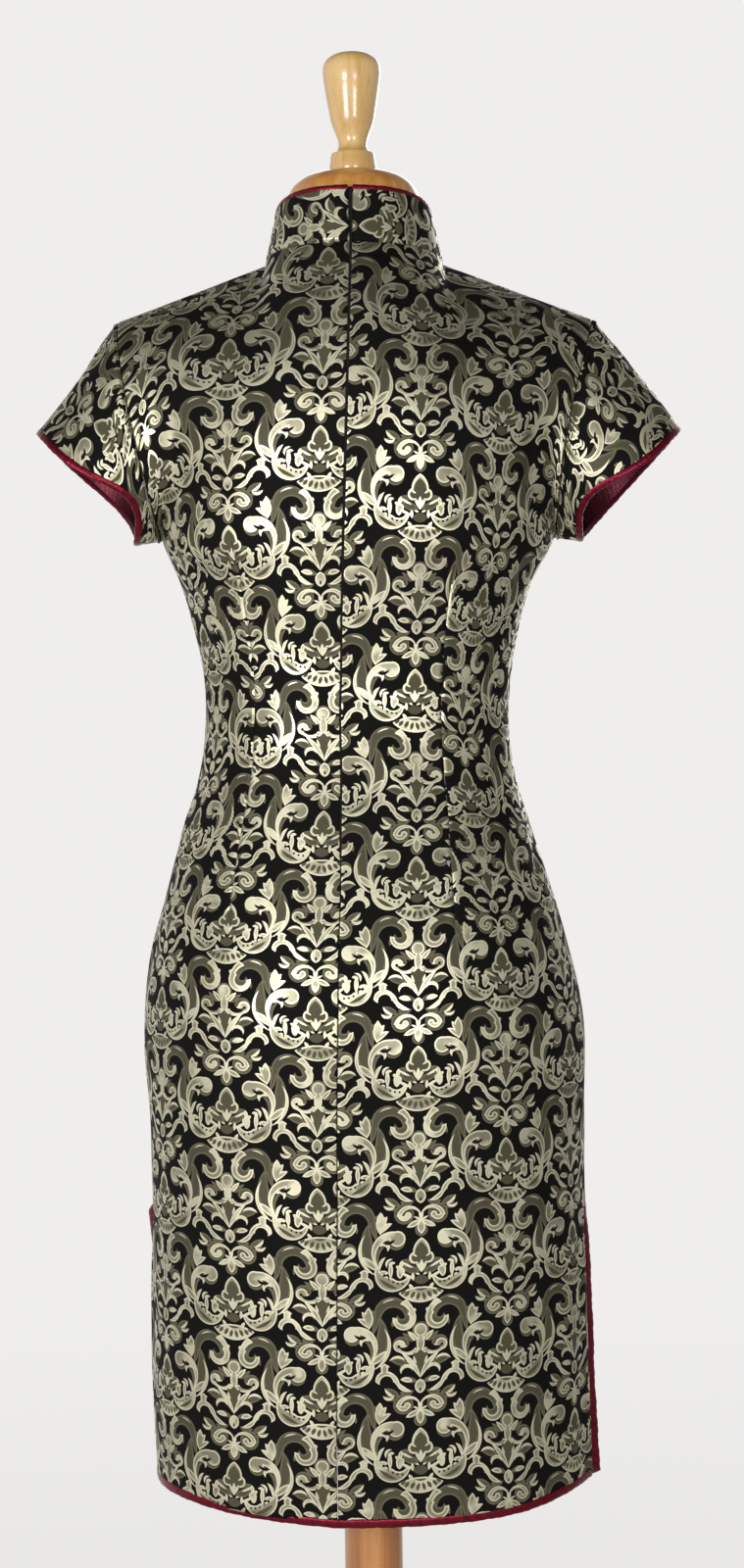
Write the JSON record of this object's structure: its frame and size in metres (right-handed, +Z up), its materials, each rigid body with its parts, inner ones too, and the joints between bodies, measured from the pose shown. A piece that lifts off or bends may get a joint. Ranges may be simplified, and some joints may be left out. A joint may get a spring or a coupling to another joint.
{
  "type": "cheongsam dress on a limbless dress form with a wooden stand",
  "caption": "Knee-length fitted cheongsam with stand collar, cap sleeves, side slits and satin-bound edges, worn by a limbless dress form on a turned wooden stand.",
  "frame": {"origin": "middle of the stand's round base, on its underside", "axes": "+Z up along the pole; -Y is the wearer's front; +X is the wearer's left"},
  "size_m": [0.5122, 0.38, 1.5715],
  "materials": {
    "brocade": "woven damask brocade, dark charcoal ground with taupe and silver figures",
    "red_satin": "glossy deep-red satin",
    "form_cover": "natural cotton jersey stretched over the form",
    "lacquered_beech": "clear lacquer on turned beech"
  },
  "bodies": {
    "root": {"back_left": "brocade", "back_right": "brocade", "front": "brocade", "sleeve_left": "brocade", "sleeve_right": "brocade", "collar_left": "brocade", "collar_right": "brocade", "binding_collar_left": "red_satin", "binding_collar_right": "red_satin", "binding_sleeve_left": "red_satin", "binding_sleeve_right": "red_satin", "facing_sleeve_left": "red_satin", "facing_sleeve_right": "red_satin", "binding_hem_back": "red_satin", "binding_hem_front": "red_satin", "form_torso": "form_cover", "form_neck_cap": "lacquered_beech", "form_finial": "lacquered_beech", "form_pole": "lacquered_beech", "form_base": "lacquered_beech"}
  },
  "joints": []
}
